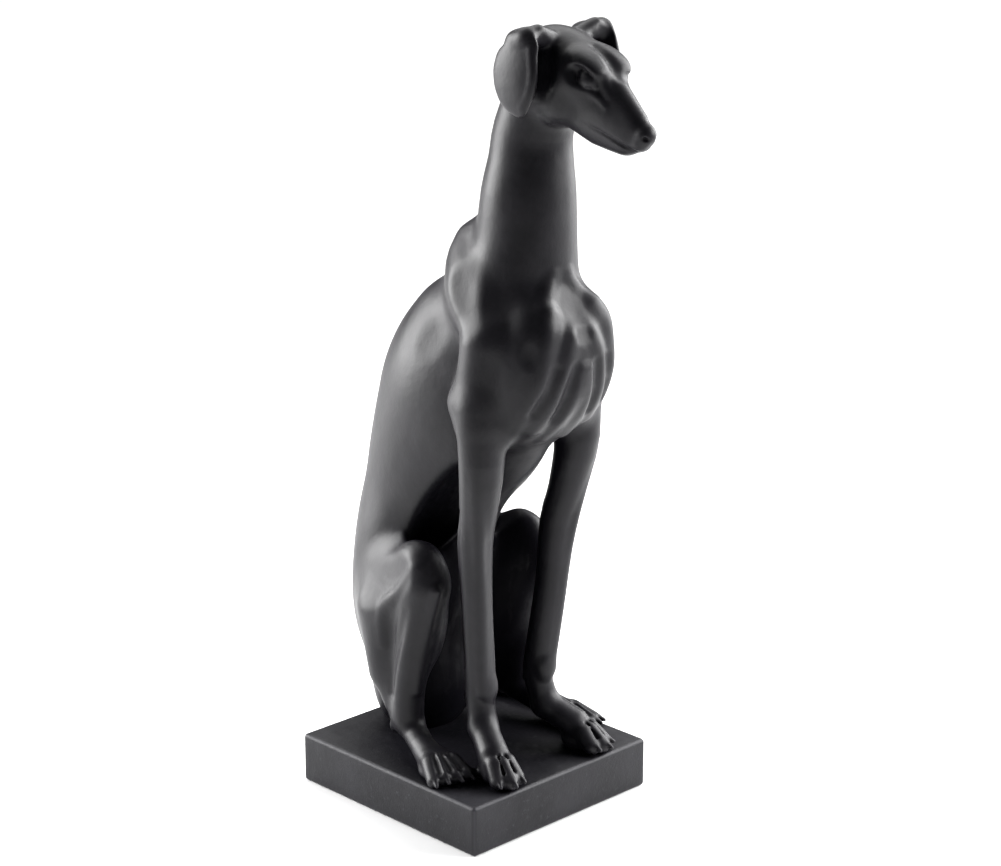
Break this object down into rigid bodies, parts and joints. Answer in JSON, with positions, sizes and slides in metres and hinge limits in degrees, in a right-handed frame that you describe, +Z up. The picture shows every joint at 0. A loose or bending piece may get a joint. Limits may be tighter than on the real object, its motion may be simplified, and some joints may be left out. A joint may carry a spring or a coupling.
{
  "type": "sitting dog figurine",
  "caption": "Slender sighthound sitting upright with folded ears on a square plinth, cast in one piece for standing on a shelf or floor.",
  "frame": {"origin": "centre of the plinth's underside", "axes": "+Z up; the dog faces -Y; its left side is +X, its right side -X"},
  "size_m": [0.12, 0.1888, 0.3922],
  "materials": {
    "black_resin": "charcoal black cast resin with a soft satin sheen, a little paler where edges are rubbed"
  },
  "bodies": {
    "root": {"whippet_on_plinth": "black_resin"}
  },
  "joints": []
}
